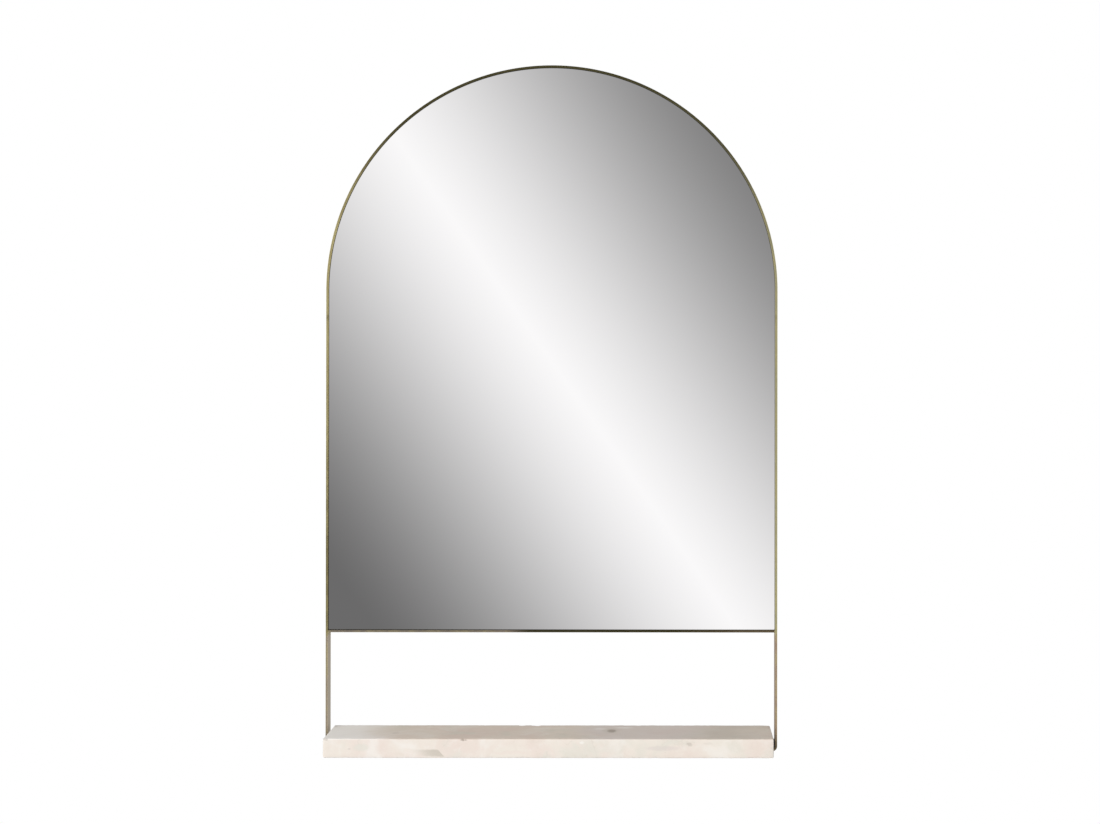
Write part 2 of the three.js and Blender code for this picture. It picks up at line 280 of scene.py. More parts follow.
# Takes the shapes of the cutters out of a piece, for good
def cutOut(piece, cutters):
    tool = newObject("cutter", gather(cutters))
    carve = piece.modifiers.new("cut", "BOOLEAN")
    carve.operation = "DIFFERENCE"
    carve.solver = "EXACT"
    carve.object = tool
    carved = piece.evaluated_get(bpy.context.evaluated_depsgraph_get())
    mesh = bpy.data.meshes.new_from_object(carved)
    piece.modifiers.remove(carve)
    old = piece.data
    piece.data = mesh
    bpy.data.meshes.remove(old)
    bpy.data.objects.remove(tool)
    return piece


# A rounded rectangle of edges in the X-Y plane, with no face
def sectionLoop(bm, width, depth, corner):
    made = bmesh.ops.create_grid(bm, x_segments=1, y_segments=1, size=0.5)
    bmesh.ops.scale(bm, vec=(width, depth, 1), verts=made["verts"])
    roundOff(bm, made["verts"], corner, 3, "VERTICES")
    bmesh.ops.delete(bm, geom=bm.faces[:], context="FACES_ONLY")
    return bm.edges[:]


def pulled(bm, edges, vector):
    made = bmesh.ops.extrude_edge_only(bm, edges=edges)["geom"]
    bmesh.ops.translate(bm, vec=vector, verts=vertsOf(made))
    return edgesOf(made)


def swung(bm, edges, centre, axis, degrees, steps):
    made = bmesh.ops.spin(bm, geom=edges, cent=centre, axis=axis,
                          angle=math.radians(degrees), steps=steps)
    return edgesOf(made["geom_last"])


# Closes both ends of a swept section and breaks their sharp edges
def capped(bm, chamfer):
    rims = [edge for edge in bm.edges if edge.is_boundary]
    bmesh.ops.holes_fill(bm, edges=rims, sides=0)
    roundOff(bm, rims, chamfer, 2)
    return closed(bm)


# Shading, material, body and the nodes that a finished piece stands for
def dress(piece, material, replaced, body="mirror_unit", sharp=32, bevel=0.0):
    mesh = piece.data
    mesh.shade_smooth()
    mesh.set_sharp_from_angle(angle=math.radians(sharp))
    mesh.materials.clear()
    mesh.materials.append(material)
    if bevel:
        edgeBreak = piece.modifiers.new("broken edges", "BEVEL")
        edgeBreak.width = bevel * mm
        edgeBreak.segments = 2
        edgeBreak.limit_method = "ANGLE"
        edgeBreak.angle_limit = math.radians(sharp)
    piece.modifiers.new("even normals", "WEIGHTED_NORMAL").keep_sharp = True
    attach(piece, body)
    if replaced:
        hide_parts(*replaced)
    return piece


cameraSetup = {
    "place": (0.1476, -2.8126, 0.5162),
    "yaw": -0.122,  # degrees to the left
    "pitch": 0.214,
    "roll": 0.064,
    "lens": 67.5,
    "sensor": 36,
    "shift": (-0.105, -0.055),
    "clip": (0.05, 100),
}


def makeCamera(setup):
    camera = bpy.data.objects.new("camera", bpy.data.cameras.new("camera"))
    camera.data.sensor_width = setup["sensor"]
    camera.data.lens = setup["lens"]
    camera.data.shift_x, camera.data.shift_y = setup["shift"]
    camera.data.clip_start, camera.data.clip_end = setup["clip"]
    aim = turnedBy(setup["yaw"], "Z") @ turnedBy(90 + setup["pitch"], "X")
    camera.matrix_world = shifted(*setup["place"]) @ aim @ turnedBy(setup["roll"], "Z")
    scene.collection.objects.link(camera)
    scene.camera = camera


makeCamera(cameraSetup)
print("camera placed")


# Brass of the frame
brassLook = {
    "pale": (0.84, 0.73, 0.36),
    "deep": (0.70, 0.59, 0.28),
    "olive": (0.73, 0.68, 0.40),  # right side
    "bronze": (0.66, 0.47, 0.33),  # right leg
    "fawn": (0.74, 0.62, 0.46),  # left leg
    "dusk": (0.73, 0.62, 0.55),  # left half of the crossbar
    "patina": (0.080, 0.072, 0.028),
    "roughness": 0.27,
    "brushing": 0.12,  # how much the brushed lines add to it
    "brushed": (22, 1900),  # fine lines to the metre, along the bar and across it
    "rolled": (6, 420),  # broad ones
    "cloudScale": 26,
    "smudgeScale": 60,
    "fleckScale": 620,
    "relief": 0.03 * mm,
    "oliveFrom": (-0.15, 0.22),  # x where the olive begins, and where it is full
    "weldStain": 6 * mm,  # reach of the stain on each side of the butt welds
    "weldTarnish": (0.62, 0.26),  # left and right
    "crownFrom": (0.07, -0.02),  # metres above the arch's middle, left and right, where the painted dark reflection on the crown begins
    # painted dark reflection on the crown, as a darker brass colour
    "crownPaintedShade": 0.91,
    "crownBack": 0.45,  # share of it that is missing at the back
    "sidePaintedShade": 0.52,  # painted shade low on the left side
    "sideFade": (0.24, 0.52),  # heights between which it fades out
    "crossTarnish": (0.33, 0.96),  # left end of the crossbar, and right of its middle
    "crossDark": (-0.075, -0.025),  # x between which the crossbar turns dark
    "crossEase": (0.15, 0.28),  # x between which it grows a little lighter
    "flankPaintedShade": 0.22,  # painted shade on the faces of the legs that look across to each other
    # painted shade on the legs beside and under the shelf
    "footPaintedShade": 0.75,
    "outerWear": 0.45,  # bronze on the legs' outer faces
    "outerFade": (110 * mm, 10 * mm),  # below and above the crossbar's underside
}


# How far along the bent bar a place lies, and its distance from the arch's middle
def barCourse(sheet, x, z):
    high = sheet.maths("MAXIMUM", z - archCentre, 0)
    low = sheet.maths("MINIMUM", z - archCentre, 0)
    side = abs(x)
    radial = sheet.maths("SQRT", x * x + high * high)
    along = barMiddle * sheet.maths("ARCTAN2", high, side) + low + (z < weldLevel) * side
    return along, radial


# Noise drawn out along the bar, with so many lines to the metre along it and across it
def barGrain(sheet, course, lines, detail, roughness):
    along, y, radial = course
    lengthwise, across = lines
    stretched = sheet.join(along * lengthwise, y * across, radial * across)
    return sheet.grain(stretched, 1, detail, roughness)


# The lacquer has gone olive on the right, and worn to bronze on the legs and the crossbar. Painted
# shade and a painted dark reflection are laid on the frame too
def frameStainsAndShade(sheet, look, spot, cloud, colour, tarnishAndShade):
    x, y, z = spot
    depth = y + barDepth
    right = sheet.rise(x + (cloud - 0.5) * 0.2, *look["oliveFrom"])
    colour = sheet.mix(right * 0.9, colour, look["olive"])
    leg = sheet.fall(z, crossLow.z - 8 * mm, crossLow.z + 1 * mm)
    inside = sheet.fall(abs(x), innerHalf - 1.5 * mm, innerHalf - 0.2 * mm)
    outside = sheet.rise(abs(x), outerHalf - 0.4 * mm, outerHalf - 0.05 * mm)
    bar = sheet.fall(z, crossHigh.z + 1 * mm, crossHigh.z + 4 * mm) * (1 - leg) * inside
    bare = sheet.mix(right, sheet.mix(bar, look["fawn"], look["dusk"]), look["bronze"])
    # the outer faces are worn less, and only lower down
    below, above = look["outerFade"]
    outerWorn = look["outerWear"] * sheet.fall(z, crossLow.z - below, crossLow.z + above)
    worn = sheet.maths("MAXIMUM", between(leg, outerWorn, outside), bar)
    colour = sheet.mix(worn * (0.7 + 0.5 * cloud), colour, bare)
    # stains at the welds; a painted dark reflection on the crown; painted shade at the feet, on the
    # legs' inner faces and low on the left side; and the crossbar darkened
    weld = sheet.fall(abs(z - weldLevel), 0.15 * look["weldStain"], look["weldStain"])
    weld = weld * (0.65 + 0.35 * sheet.rise(cloud, 0.3, 0.6)) * between(*look["weldTarnish"], right)
    # painted dark reflection: the crown is darkened, less at the back
    crownFrom = between(*look["crownFrom"], right)
    crownShade = sheet.rise(z - archCentre, crownFrom, 0.8 * outerHalf) * look["crownPaintedShade"]
    crownShade = crownShade * (1 - look["crownBack"] * sheet.rise(depth, 2 * mm, 15 * mm))
    # painted shade on the legs from a little above the shelf's top down
    foot = sheet.fall(z, shelfLow.z, shelfHigh.z + 6 * mm) * look["footPaintedShade"]
    bareLeg = leg * (1 - outside)
    # painted shade on the legs' inner faces
    flankShade = sheet.rise(depth, 0.8 * mm, 2.5 * mm) * bareLeg * look["flankPaintedShade"]
    # painted shade low on the left side of the frame
    side = sheet.fall(z, *look["sideFade"]) * (1 - bareLeg) * (1 - right) * look["sidePaintedShade"]
    dark = sheet.rise(x, *look["crossDark"]) * (1 - 0.35 * sheet.rise(x, *look["crossEase"]))
    cross = bar * between(*look["crossTarnish"], dark)
    # painted shade and painted dark reflection, with the crossbar's darkening
    shadeAndDarkening = crownShade + sheet.maths("MAXIMUM", foot, flankShade) + sheet.maths("MAXIMUM", side, cross)
    tarnishAndShade = sheet.maths("MAXIMUM", tarnishAndShade, weld)
    tarnishAndShade = sheet.maths("MAXIMUM", tarnishAndShade, shadeAndDarkening * (0.9 + 0.2 * cloud))
    return colour, tarnishAndShade


def makeBrass(name, look, stained=True):
    sheet = newSheet(name)
    place = sheet.place()
    x, y, z = sheet.split(place)
    along, radial = barCourse(sheet, x, z)
    fine = barGrain(sheet, (along, y, radial), look["brushed"], 4, 0.62)
    broad = barGrain(sheet, (along, y, radial), look["rolled"], 3, 0.55)
    cloud = sheet.grain(sheet.warped(place, 30, 0.02), look["cloudScale"], 5, 0.6)
    smudge = sheet.grain(place, look["smudgeScale"], 4, 0.6)
    fleck = sheet.cells(sheet.warped(place, 400, 0.0015), look["fleckScale"])
    colour = sheet.mix(sheet.rise(cloud, 0.36, 0.66), look["deep"], look["pale"])
    tarnishAndShade = sheet.rise(smudge, 0.56, 0.76) * 0.16
    if stained:
        colour, tarnishAndShade = frameStainsAndShade(sheet, look, (x, y, z), cloud, colour, tarnishAndShade)
    colour = sheet.mix(tarnishAndShade, colour, look["patina"])
    # rubbed bright along the front and back edges, and flecked all over
    edge = sheet.rise(abs(y + barDepth / 2), barDepth / 2 - 0.6 * mm, barDepth / 2 - 0.1 * mm)
    rubbed = edge * sheet.rise(smudge, 0.4, 0.62) * sheet.fall(tarnishAndShade, 0.3, 0.8) * 0.5
    colour = sheet.mix(rubbed, colour, look["pale"])
    colour = sheet.mix(sheet.fall(fleck, 0.04, 0.13) * 0.24, colour, look["patina"])
    colour = sheet.shaded(colour, 0.90 + 0.20 * fine)
    roughness = look["roughness"] + look["brushing"] * (fine - 0.5) + 0.12 * tarnishAndShade + 0.08 * cloud
    height = fine * 0.5 + broad * 0.35 + sheet.rise(fleck, 0.03, 0.16) * 0.3
    normal = sheet.bump(height, look["relief"], 0.8)
    return sheet.surface(colour, roughness, normal, Metallic=1.0)


brass = makeBrass("aged_brass", brassLook)
print("brass made")


# Flat bars of the frame
barLook = {
    "corner": 0.45 * mm,
    "endBreak": 0.25 * mm,
    "crossBreak": 0.1 * mm,  # the same at the crossbar's ends
    "archSteps": 160,
    "bendSteps": 10,
    "bendRadius": 4 * mm,
    "footLength": 60 * mm,
}


# The bar's section at the right butt weld
def barSection(bm):
    edges = sectionLoop(bm, outerHalf - innerHalf, barDepth, barLook["corner"])
    bmesh.ops.translate(bm, vec=(barMiddle, archLow.y + barDepth / 2, weldLevel), verts=bm.verts)
    return edges


def makeArch():
    bm = bmesh.new()
    tail = Vector((0, 0, archCentre - weldLevel))
    edges = pulled(bm, barSection(bm), tail)
    edges = swung(bm, edges, (0, 0, archCentre), (0, 1, 0), -180, barLook["archSteps"])
    pulled(bm, edges, -tail)
    piece = newObject("archBar", capped(bm, barLook["endBreak"]))
    dress(piece, brass, ["arch_bar"])


sides = {"left": -1, "right": 1}
shelfScrews = ["outer", "inner"]
# Countersunk hole in the foot for a shelf screw: (radius, height) in millimetres
footHole = [(0, -1), (4.9, -1), (4.9, 0.2), (2.8, 2.7), (2.8, 4), (0, 4)]


def nodeMiddle(name):
    low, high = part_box(name)
    return (low + high) / 2


# Cutters where the shelf's screws are on one side, with their profile standing on a level
def shelfHoles(name, profile, segments, level, kind="screw"):
    cutters = []
    for row in shelfScrews:
        spot = nodeMiddle(f"{name}_{row}_shelf_{kind}")
        cutters.append(moved(turnedSolid(profile, segments), shifted(spot.x, spot.y, level)))
    return cutters


def makeSideBar(name, side):
    bm = bmesh.new()
    bendOuter = barLook["bendRadius"] + outerHalf - innerHalf
    bendZ = sideLow.z + bendOuter
    edges = pulled(bm, barSection(bm), (0, 0, bendZ - weldLevel))
    centre = (outerHalf - bendOuter, 0, bendZ)
    edges = swung(bm, edges, centre, (0, 1, 0), 90, barLook["bendSteps"])
    pulled(bm, edges, (bendOuter - barLook["footLength"], 0, 0))
    capped(bm, barLook["endBreak"])
    if side < 0:
        moved(bm, mirrored)
    piece = cutOut(newObject(name + "SideBar", bm), shelfHoles(name, footHole, 40, sideLow.z))
    dress(piece, brass, [name + "_side_bar"])


makeArch()
for name, side in sides.items():
    makeSideBar(name, side)


def makeCrossbar():
    bm = bmesh.new()
    edges = sectionLoop(bm, crossHigh.z - crossLow.z, barDepth, barLook["corner"])
    moved(bm, shifted(crossLow.x, crossLow.y + barDepth / 2, (crossLow.z + crossHigh.z) / 2)
          @ turnedBy(90, "Y"))
    pulled(bm, edges, (crossHigh.x - crossLow.x, 0, 0))
    piece = newObject("mirrorCrossbar", capped(bm, barLook["crossBreak"]))
    dress(piece, brass, ["mirror_crossbar"])


makeCrossbar()

# Welds, in millimetres
beadLook = {
    "radius": 1.15,
    "pitch": 1.5,  # from ripple to ripple
    "rings": 3,  # rings of the mesh to a ripple
    "ripple": 0.16,
    "wobble": 0.05,
    "tip": 0.35,  # size of the ends, next to that of the middle
    "sides": 10,
    "crossbarLength": 21,
    "tabLength": 16,
}


# A bead of weld along X, round in section, with the ripples of its pool
def weldBead(length):
    bm = bmesh.new()
    tip = beadLook["tip"]
    rings = beadLook["rings"]
    made = bmesh.ops.create_circle(bm, cap_ends=False, segments=beadLook["sides"],
                                   radius=beadLook["radius"] * mm)
    moved(bm, turnedBy(90, "Y"))
    edges = bm.edges[:]
    bmesh.ops.scale(bm, vec=(1, tip, tip), verts=made["verts"])
    steps = int(length / beadLook["pitch"]) * rings
    size = tip
    for step in range(1, steps + 1):
        edges = pulled(bm, edges, (length * mm / steps, 0, 0))
        ends = min(step, steps - step) / rings
        ripple = beadLook["ripple"] * (step % rings) / 2 + beadLook["wobble"] * math.sin(step * 2.3)
        wanted = (1 - ripple) * min(1, tip + (1 - tip) * math.sqrt(min(1, ends)))
        verts = list({vert for edge in edges for vert in edge.verts})
        centre = sum((vert.co for vert in verts), Vector()) / len(verts)
        grow = wanted / size
        bmesh.ops.scale(bm, vec=(1, grow, grow), space=Matrix.Translation(-centre), verts=verts)
        size = wanted
    bmesh.ops.holes_fill(bm, edges=[edge for edge in bm.edges if edge.is_boundary], sides=0)
    return closed(moved(bm, shifted(-length * mm / 2, 0, 0)))


# The tabs and the welds are duller than the frame, which has been polished
plainLook = dict(brassLook, pale=(0.70, 0.56, 0.31), deep=(0.50, 0.39, 0.21), roughness=0.34)
brassPlain = makeBrass("aged_brass_small_parts", plainLook, stained=False)


def addWeld(name, length, matrix):
    piece = newObject(name, moved(weldBead(length), matrix))
    smooth = piece.modifiers.new("smooth", "SUBSURF")
    smooth.levels = 1
    smooth.render_levels = 1
    dress(piece, brassPlain, [], sharp=180)


for name, side in sides.items():
    corner = shifted(side * innerHalf, -barDepth / 2, crossLow.z)
    addWeld(name + "CrossbarWeld", beadLook["crossbarLength"], corner @ turnedBy(90, "Z"))
print("frame bars made")


# Pale stone of the shelf
stoneLook = {
    "arris": 1.0 * mm,
    "gap": {"x": 1.9 * mm, "y": 2.4 * mm, "z": 2.3 * mm},  # between the lines of the mesh
    "edgeWear": 0.45 * mm,
    "wearReach": 3.2 * mm,
    "undulation": 0.05 * mm,
    "cream": (0.855, 0.79, 0.71),
    "rose": (0.83, 0.725, 0.655),
    "moss": (0.755, 0.735, 0.655),
    "tan": (0.72, 0.645, 0.55),
    "vein": (0.60, 0.545, 0.47),
    "chalk": (0.91, 0.875, 0.825),
    "topShadeTint": (0.866, 0.826, 0.783),  # painted shade that also warms the top: multiplies the colour of the top
    "mauve": (0.665, 0.585, 0.565),
    # colour of the painted shade towards the right end of the top
    "rightEndShade": (0.565, 0.505, 0.435),
    "umber": (0.26, 0.20, 0.155),
    "roughness": 0.50,
    "relief": 0.16 * mm,
    # noise cells to the metre
    "cloudScale": 11,
    "blushScale": 19,
    "paleScale": 24,
    "mottleScale": 85,
    "speckScale": 720,
    "veinScale": 15,
    "pitScale": 105,
    "toothScale": 900,
    # x between which the colours of the top, its painted light and its painted shade begin or end
    "paintedLightTo": (-0.285, -0.185),
    "mauveFrom": (0.03, 0.085),
    "mauveTo": (0.17, 0.225),
    "rightEndShadeFrom": (0.17, 0.23),
    "rightEndShadeEase": (0.245, 0.29),
    "rearShadeFrom": (-0.009, -0.002),  # y between which the rear edge darkens with painted shade
    "veinWidth": 0.014,
    "seam": (0.07, 0.0725),
    # brown wedge low on the front, and a rosy patch to the right of it
    "wedgeLeft": (-0.182, -0.150),
    "wedgeRight": (-0.1425, -0.1418),
    "wedgeSlant": 0.9,
    "wedgeLevel": -1.2 * mm,
    "wedgeHalf": (2.6 * mm, 5.4 * mm),
    "rosyMiddle": (-0.050, -0.1016, -0.0008),
    "rosyRadii": (0.036, 0.02, 0.0034),
}

# Chips in the arris: place, reach and depth, in millimetres
stoneChips = [
    ((-111, -101.6, 17.4), 3.6, 1.7),
    ((-268, -101.6, 17.4), 2.6, 0.8),
    ((37, -101.6, 17.4), 2.2, 0.7),
    ((203, -101.6, 17.4), 3.0, 0.8),
    ((-33, -101.6, -8), 3.0, 0.9),
    ((141, -101.6, -8), 2.4, 0.8),
    ((-296.3, -71, 17.4), 3.0, 1.0),
    ((296.3, -88, 17.4), 2.6, 1.1),
    ((-22, 0, 17.4), 7.5, 1.1),
    ((-41, 0, 17.4), 5.0, 0.8),
    ((118, 0, 17.4), 3.0, 0.8),
]


def makeShelfMesh():
    bm = bmesh.new()
    bmesh.ops.create_cube(bm, size=1)
    size = shelfHigh - shelfLow
    middle = (shelfHigh + shelfLow) / 2
    bmesh.ops.scale(bm, vec=size, verts=bm.verts)
    bmesh.ops.translate(bm, vec=middle, verts=bm.verts)
    roundOff(bm, bm.edges[:], stoneLook["arris"], 3)
    for index, axis in enumerate("xyz"):
        cuts = round(size[index] / stoneLook["gap"][axis])
        lengthwise = [
            edge for edge in bm.edges
            if abs(edge.verts[0].co[index] - edge.verts[1].co[index]) > 0.8 * size[index]
        ]
        bmesh.ops.subdivide_edges(bm, edges=lengthwise, cuts=cuts, use_grid_fill=True)
    bm.normal_update()
    for vert in bm.verts:
        place = vert.co
        depths = [min(place[i] - shelfLow[i], shelfHigh[i] - place[i]) for i in range(3)]
        near = [max(0, 1 - depth / stoneLook["wearReach"]) for depth in depths]
        edge = min(1, near[0] * near[1] + near[1] * near[2] + near[2] * near[0])
        wear = 0.5 + 0.5 * noise.fractal(place * 70, 1, 2, 3) + 0.35 * noise.noise(place * 420)
        inward = Vector([math.copysign(1, middle[i] - place[i]) * (near[i] > 0) for i in range(3)])
        step = inward * edge * max(0, wear) * stoneLook["edgeWear"]
        flat = vert.normal * noise.fractal(place * 26, 1, 2, 2) * stoneLook["undulation"]
        for spot, spread, depth in stoneChips:
            away = (place - Vector(spot) * mm).length / (spread * mm)
            if away < 1:
                ragged = 0.75 + 0.5 * noise.noise(place * 900)
                step += inward * depth * mm * ragged * (1 - away ** 2) * 0.7
        vert.co = place + step + flat
    return bm


# Marks that the stone shows: middle and half widths in millimetres, colour, strength
stoneMarks = [
    ((80, -42, 17.4), (15, 24, 4), "vein", 0.55),
    ((82, -43, 17.4), (7.8, 15, 4), "umber", 0.62),
    ((98, -20, 17.4), (17, 6.5, 4), "chalk", 0.55),
    ((66, -28, 17.4), (11, 6, 4), "chalk", 0.50),
    ((44.4, -101.6, 12.7), (4, 6, 3), "chalk", 0.75),
    ((185.5, -101.6, 10.3), (5, 8, 3.4), "umber", 0.26),
    ((210, -101.6, 11.2), (8, 6, 2), "umber", 0.09),
    ((150, -101.6, 5), (30, 8, 4.5), "mauve", 0.35),
    ((-206, -60, 17.4), (6, 9, 4), "umber", 0.16),
    ((-262, -101.6, 4), (3, 6, 1.8), "umber", 0.18),
    # painted shade in the deep chip at x = -111 mm
    ((-111, -101.6, 15.8), (5.6, 3, 2.4), "umber", 0.60),
    ((-293, -101.6, 16.6), (4, 4, 2.4), "umber", 0.30),
    ((-246, -101.6, 6), (14, 6, 6.5), "moss", 0.60),
]


# The top gets a painted shade that also makes it warmer than the front. Its left end gets painted
# light, and a band towards its right end painted shade.
def topTintLightAndShade(sheet, look, spot, cloud, mottle, colour):
    x, y, z = spot
    top = sheet.rise(z, shelfHigh.z - 1.5 * mm, shelfHigh.z - 0.5 * mm)
    wander = x + (cloud - 0.5) * 0.14
    # painted light on the left end of the top
    paintedLight = sheet.fall(wander, *look["paintedLightTo"])
    # painted shade on the top, warmer too
    topShadeTint = sheet.mix(1, colour, look["topShadeTint"], "MULTIPLY")
    colour = sheet.mix(top * (1 - paintedLight), colour, topShadeTint)
    colour = sheet.mix(paintedLight * top * 0.95, colour, look["chalk"])
    mauve = sheet.rise(wander, *look["mauveFrom"]) * sheet.fall(wander, *look["mauveTo"])
    colour = sheet.mix(mauve * top * 0.55, colour, look["mauve"])
    # painted shade in a band towards the right end of the top
    rightEndShade = sheet.rise(wander, *look["rightEndShadeFrom"]) * (1 - 0.5 * sheet.rise(wander, *look["rightEndShadeEase"]))
    colour = sheet.mix(rightEndShade * top * 0.75, colour, look["rightEndShade"])
    # painted shade along the rear edge of the top
    rearShade = sheet.rise(y + (mottle - 0.5) * 0.012, *look["rearShadeFrom"]) * sheet.rise(z, 0.012, 0.0165)
    return sheet.mix(rearShade * 0.55, colour, look["vein"])


# Thin veins run where a drifting noise crosses its middle value
def stoneVeins(sheet, look, spot, drift, blush, mottle, colour):
    x, z = spot[0], spot[2]
    drawn = sheet.vectorMaths("MULTIPLY", drift, (1, 1.9, 1.4))
    ridge = abs(sheet.grain(drawn, look["veinScale"], 4, 0.55) - 0.5)
    vein = sheet.fall(ridge, 0.0, look["veinWidth"]) * sheet.rise(blush, 0.42, 0.6)
    colour = sheet.mix(vein * 0.20, colour, look["vein"])
    # past a faint seam the stone is a little warmer
    seam = x + (mottle - 0.5) * 0.006 + z * 0.12
    return sheet.mix(sheet.rise(seam, *look["seam"]) * 0.12, colour, look["tan"])


# The wedge ends sharply on the right, along a slanting line
def frontPatches(sheet, look, place, spot, mottle, colour):
    x, y, z = spot
    slant = x + z * look["wedgeSlant"]
    wedge = sheet.fall(slant, *look["wedgeRight"]) * sheet.rise(slant, *look["wedgeLeft"])
    aside = abs(z - look["wedgeLevel"] + (mottle - 0.5) * 0.004)
    wedge = wedge * sheet.fall(aside, *look["wedgeHalf"]) * sheet.fall(y, -0.098, -0.092)
    colour = sheet.mix(wedge * 0.85, colour, look["vein"])
    rosy = sheet.distance(sheet.warped(place, 80, 0.008), look["rosyMiddle"], look["rosyRadii"])
    return sheet.mix(sheet.fall(rosy, 0.35, 1.05) * 0.5, colour, look["rose"])


def makeStone(look):
    sheet = newSheet("pale_stone")
    place = sheet.place()
    spot = sheet.split(place)
    drift = sheet.warped(place, 9, 0.09, 3)
    cloud = sheet.grain(drift, look["cloudScale"], 6, 0.56)
    elsewhere = sheet.vectorMaths("ADD", drift, (3.1, 1.7, 0.4))
    blush = sheet.grain(elsewhere, look["blushScale"], 5, 0.6)
    mottle = sheet.grain(sheet.warped(place, 60, 0.012), look["mottleScale"], 5, 0.62)
    speck = sheet.grain(place, look["speckScale"], 3, 0.6)
    colour = sheet.mix(sheet.rise(cloud, 0.34, 0.64), look["rose"], look["cream"])
    colour = sheet.mix(sheet.rise(blush, 0.5, 0.72) * 0.75, colour, look["moss"])
    colour = sheet.mix(sheet.rise(mottle, 0.5, 0.8) * 0.30, colour, look["tan"])
    colour = sheet.mix(sheet.fall(mottle, 0.24, 0.46) * 0.35, colour, look["chalk"])
    elsewhere = sheet.vectorMaths("ADD", drift, (0.7, 5.2, 2.9))
    pale = sheet.grain(elsewhere, look["paleScale"], 4, 0.5)
    colour = sheet.mix(sheet.rise(pale, 0.50, 0.68) * 0.65, colour, look["chalk"])
    colour = topTintLightAndShade(sheet, look, spot, cloud, mottle, colour)
    colour = stoneVeins(sheet, look, spot, drift, blush, mottle, colour)
    colour = frontPatches(sheet, look, place, spot, mottle, colour)
    marked = sheet.warped(place, 170, 0.0045, 3)
    for middle, radii, tint, strength in stoneMarks:
        reach = sheet.distance(marked, Vector(middle) * mm, Vector(radii) * mm)
        colour = sheet.mix(sheet.fall(reach, 0.45, 1.0) * strength, colour, look[tint])
    # open pits, few and small, and a finer tooth
    holes = sheet.cells(sheet.warped(place, 300, 0.002), look["pitScale"])
    pits = sheet.fall(holes, 0.035, 0.085) * sheet.rise(mottle, 0.5, 0.6)
    tooth = sheet.cells(place, look["toothScale"])
    colour = sheet.mix(pits * 0.6, colour, look["vein"])
    colour = sheet.shaded(colour, 0.97 + 0.06 * speck)
    roughness = look["roughness"] + 0.16 * (mottle - 0.5) + 0.10 * speck + 0.15 * pits
    height = mottle * 0.35 + speck * 0.25 + sheet.rise(tooth, 0.0, 0.5) * 0.10 - pits * 0.9
    normal = sheet.bump(height, look["relief"], 0.55)
    return sheet.surface(colour, roughness, normal, IOR=1.52)


stone = makeStone(stoneLook)
shelf = newObject("stoneShelf", makeShelfMesh())
insertHole = bore(4.2, -1, 14)
cutOut(shelf, [
    cutter for name in sides for cutter in shelfHoles(name, insertHole, 32, shelfLow.z, "insert")
])
dress(shelf, stone, ["stone_shelf"], sharp=50)
print("stone shelf made")


# An arched plate from its front face to its back face: the mirror, and the board behind it
def archPlate(half, bottom, front, back, edgeBreak):
    bm = bmesh.new()
    foot = bm.verts.new((half, front, bottom))
    made = bmesh.ops.extrude_vert_indiv(bm, verts=[foot])
    bmesh.ops.translate(bm, vec=(0, 0, archCentre - bottom), verts=made["verts"])
    turned = bmesh.ops.spin(bm, geom=made["verts"], cent=(0, 0, archCentre), axis=(0, 1, 0),
                            angle=-math.pi, steps=barLook["archSteps"])
    made = bmesh.ops.extrude_vert_indiv(bm, verts=vertsOf(turned["geom_last"]))
    bmesh.ops.translate(bm, vec=(0, 0, bottom - archCentre), verts=made["verts"])
    bm.edges.new((made["verts"][0], foot))
    face = bmesh.ops.contextual_create(bm, geom=bm.edges[:])["faces"]
    thickened(bm, face, (0, back - front, 0))
    rims = [edge for edge in bm.edges if abs(edge.verts[0].co.y - edge.verts[1].co.y) < 0.01 * mm]
    roundOff(bm, rims, edgeBreak, 1)
    return closed(bm)


mirrorLook = {
    "silver": (0.955, 0.945, 0.95),
    "rimCreepAndShade": (0.56, 0.545, 0.49),  # darkened silver right at the rim, and painted shade where the frame's recess meets the glass
    "glassEdge": (0.20, 0.36, 0.30),
    "backPaint": (0.155, 0.17, 0.185),
    "rimWidth": 0.7 * mm,
    "arris": 0.2 * mm,
    "hazeScale": 9,
    "dustScale": 1500,
    "paintScale": 340,
    "paintRelief": 0.06 * mm,
}


def makeMirrorMaterial(look):
    sheet = newSheet("mirror_silver")
    place = sheet.place()
    x, y, z = sheet.split(place)
    high = sheet.maths("MAXIMUM", z - archCentre, 0)
    inward = glassHigh.x - sheet.maths("SQRT", x * x + high * high)
    rim = sheet.maths("MINIMUM", inward, z - glassLow.z)
    haze = sheet.grain(sheet.warped(place, 7, 0.06), look["hazeScale"], 4, 0.55)
    dust = sheet.grain(place, look["dustScale"], 2, 0.5)
    faceEnd = glassLow.y + look["arris"]
    front = sheet.fall(y, faceEnd, faceEnd + 0.1 * mm)
    back = sheet.rise(y, glassHigh.y - 0.12 * mm, glassHigh.y - 0.05 * mm)
    # darkened silver and painted shade along the rim
    rimCreepAndShade = sheet.fall(rim + (dust - 0.5) * 0.0008, 0.2 * look["rimWidth"], look["rimWidth"]) * 0.5
    silver = sheet.mix(rimCreepAndShade, look["silver"], look["rimCreepAndShade"])
    paintGrain = sheet.grain(place, look["paintScale"], 3, 0.55)
    darker = tuple(0.8 * part for part in look["backPaint"])
    paint = sheet.mix(sheet.rise(paintGrain, 0.35, 0.7), look["backPaint"], darker)
    body = sheet.mix(back, look["glassEdge"], paint)
    colour = sheet.mix(front, body, silver)
    bare = 0.012 + 0.02 * sheet.rise(haze, 0.55, 0.8) + 0.02 * sheet.rise(dust, 0.70, 0.78)
    roughness = front * bare + (1 - front) * (0.12 + back * 0.45)
    normal = sheet.bump(paintGrain * back, look["paintRelief"], 0.5)
    return sheet.surface(colour, roughness, normal, Metallic=front)


